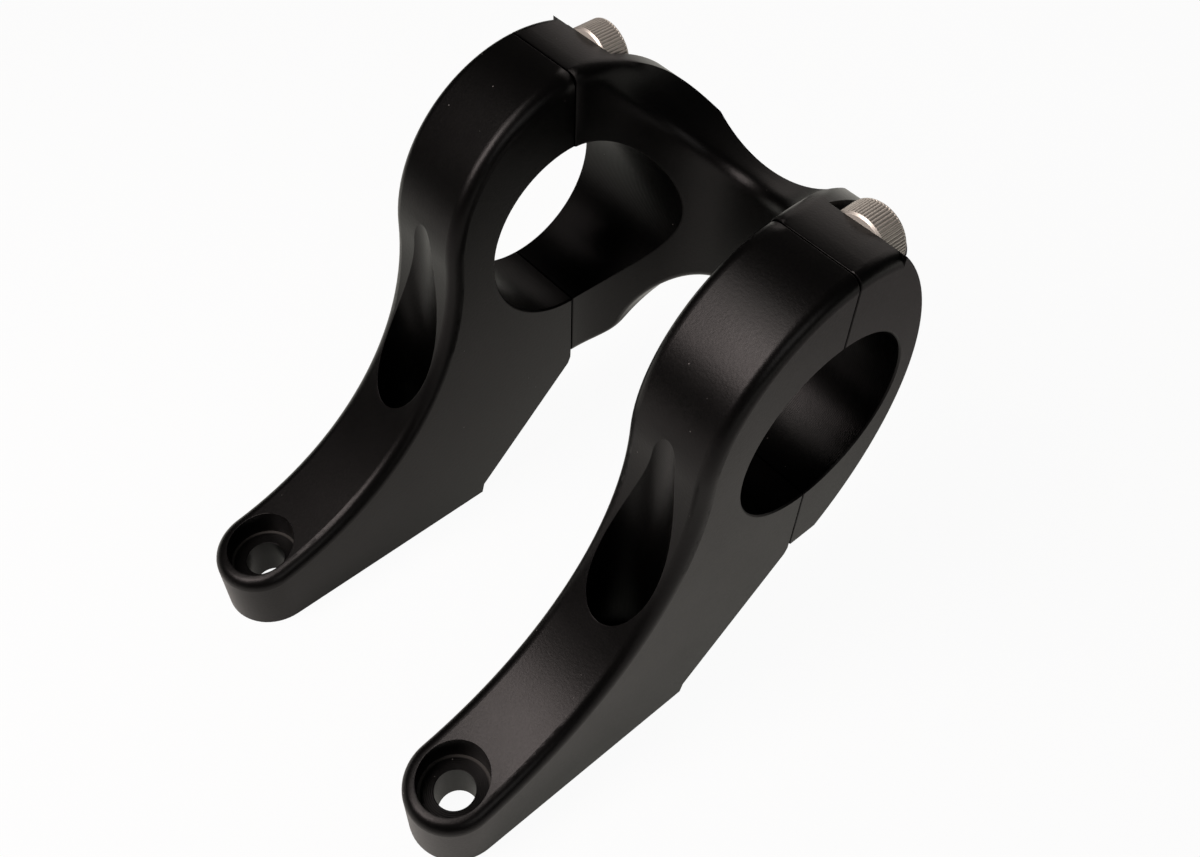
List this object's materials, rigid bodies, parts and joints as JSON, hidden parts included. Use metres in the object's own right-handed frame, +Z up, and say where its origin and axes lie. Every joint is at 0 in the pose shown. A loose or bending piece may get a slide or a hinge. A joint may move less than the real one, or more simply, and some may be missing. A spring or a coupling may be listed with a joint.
{
  "type": "handlebar riser clamp",
  "caption": "Raised handlebar mount: slim machined riser arms with recessed bolt holes and a bridged front cap that screws on to clamp the bar.",
  "frame": {"origin": "on the base plane of the arms, midway between the mounting holes", "axes": "+X along the bar, +Y forward towards the clamp cap, +Z up away from the base"},
  "size_m": [0.069, 0.0933, 0.0812],
  "materials": {
    "black_anodised": "satin bead-blasted black anodising",
    "steel_screw": "plain bright steel with a knurled head"
  },
  "bodies": {
    "root": {"left_riser_arm": "black_anodised", "right_riser_arm": "black_anodised", "bar_clamp_cap": "black_anodised", "upper_left_clamp_screw": "steel_screw", "lower_left_clamp_screw": "steel_screw", "upper_right_clamp_screw": "steel_screw", "lower_right_clamp_screw": "steel_screw"}
  },
  "joints": []
}
